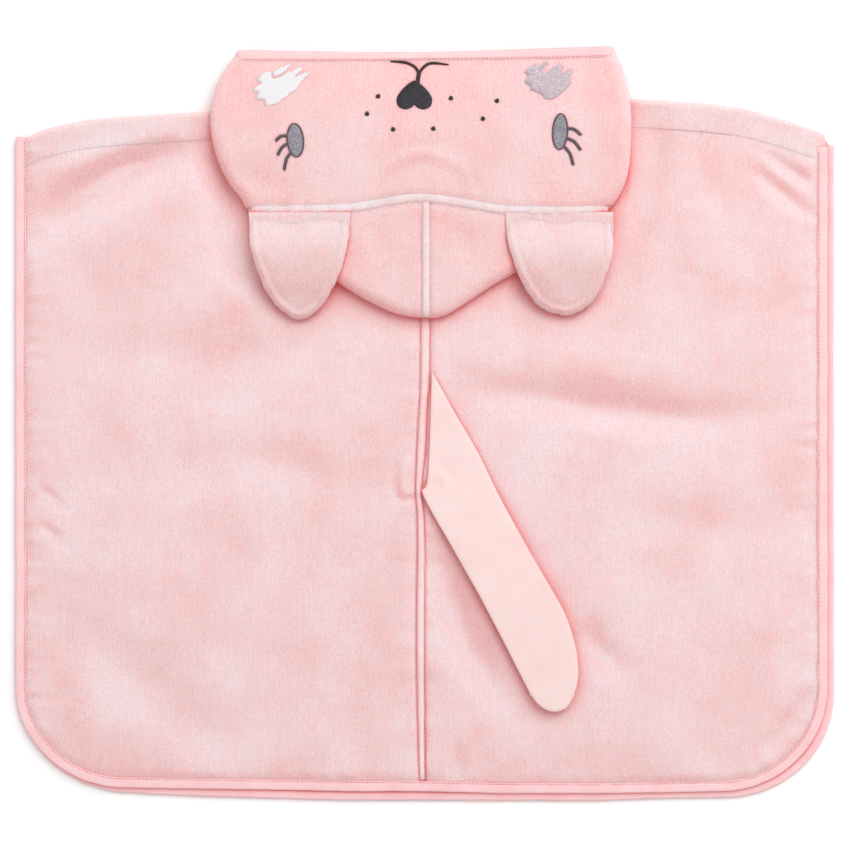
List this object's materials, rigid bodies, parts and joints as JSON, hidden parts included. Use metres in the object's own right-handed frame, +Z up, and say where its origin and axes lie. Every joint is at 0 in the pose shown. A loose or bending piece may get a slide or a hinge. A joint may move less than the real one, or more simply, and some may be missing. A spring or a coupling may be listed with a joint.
{
  "type": "hooded baby towel",
  "caption": "Bath poncho for a baby, lying flat with its hood laid back, with soft ears, a face in satin stitch and a flat tail.",
  "frame": {"origin": "centre of the bounding box on the surface that the towel lies on", "axes": "+X across the shoulders, +Y from the hem to the hood's opening, +Z up from the surface"},
  "size_m": [0.603, 0.554, 0.0257],
  "materials": {
    "velour": "cotton velour terry, sheared pile with fine vertical ribs",
    "binding": "cotton jersey bias binding, folded and topstitched",
    "jersey": "smooth cotton interlock jersey",
    "charcoal_thread": "satin-stitched embroidery thread, dark",
    "grey_thread": "satin-stitched embroidery thread, mid grey",
    "white_thread": "satin-stitched embroidery thread, white",
    "silver_thread": "embroidery in flat metallic thread, pale silver"
  },
  "bodies": {
    "root": {"front_panel": "velour", "back_panel_left": "velour", "back_panel_right": "velour", "centre_back_seam": "velour", "neck_seam_tape": "binding", "front_edge_binding": "binding", "back_edge_binding": "binding"},
    "hood_back": {"hood_under_left": "velour", "hood_under_right": "velour"},
    "hood_top": {"face_panel": "velour", "crown_left": "velour", "crown_right": "velour", "hood_opening_binding": "binding", "ear_seam_band": "velour", "crown_centre_seam": "velour", "nose_embroidery": "charcoal_thread", "mouth_embroidery": "charcoal_thread", "freckle_embroidery": "charcoal_thread", "eye_left_outline": "charcoal_thread", "eye_right_outline": "charcoal_thread", "eye_left_fill": "grey_thread", "eye_right_fill": "grey_thread", "cheek_patch_white": "white_thread", "cheek_patch_silver": "silver_thread"},
    "ear_left": {"ear_left_outer": "velour", "ear_left_lining": "velour"},
    "ear_right": {"ear_right_outer": "velour", "ear_right_lining": "velour"},
    "tail": {"tail_upper": "jersey", "tail_lower": "jersey"}
  },
  "joints": [
    {"name": "hood_lift", "type": "hinge", "parent": "root", "child": "hood_back", "pos_m": [0, 0.224, 0.0094], "axis": [-1, 0, 0], "range_deg": [0, 90]},
    {"name": "hood_unfold", "type": "hinge", "parent": "hood_back", "child": "hood_top", "pos_m": [0, 0.0772, 0.0134], "axis": [1, 0, 0], "range_deg": [0, 90]},
    {"name": "ear_left_flip", "type": "hinge", "parent": "hood_top", "child": "ear_left", "pos_m": [-0.0915, 0.1515, 0.0225], "axis": [-1, 0, 0], "range_deg": [0, 150]},
    {"name": "ear_right_flip", "type": "hinge", "parent": "hood_top", "child": "ear_right", "pos_m": [0.098, 0.1515, 0.0225], "axis": [-1, 0, 0], "range_deg": [0, 150]},
    {"name": "tail_swing", "type": "hinge", "parent": "root", "child": "tail", "pos_m": [-0.0016, -0.002, 0.0094], "axis": [0, -1, 0], "range_deg": [0, 150]}
  ],
  "couplings": [
    {"joint": "hood_unfold", "follows": "hood_lift", "ratio": 1}
  ]
}
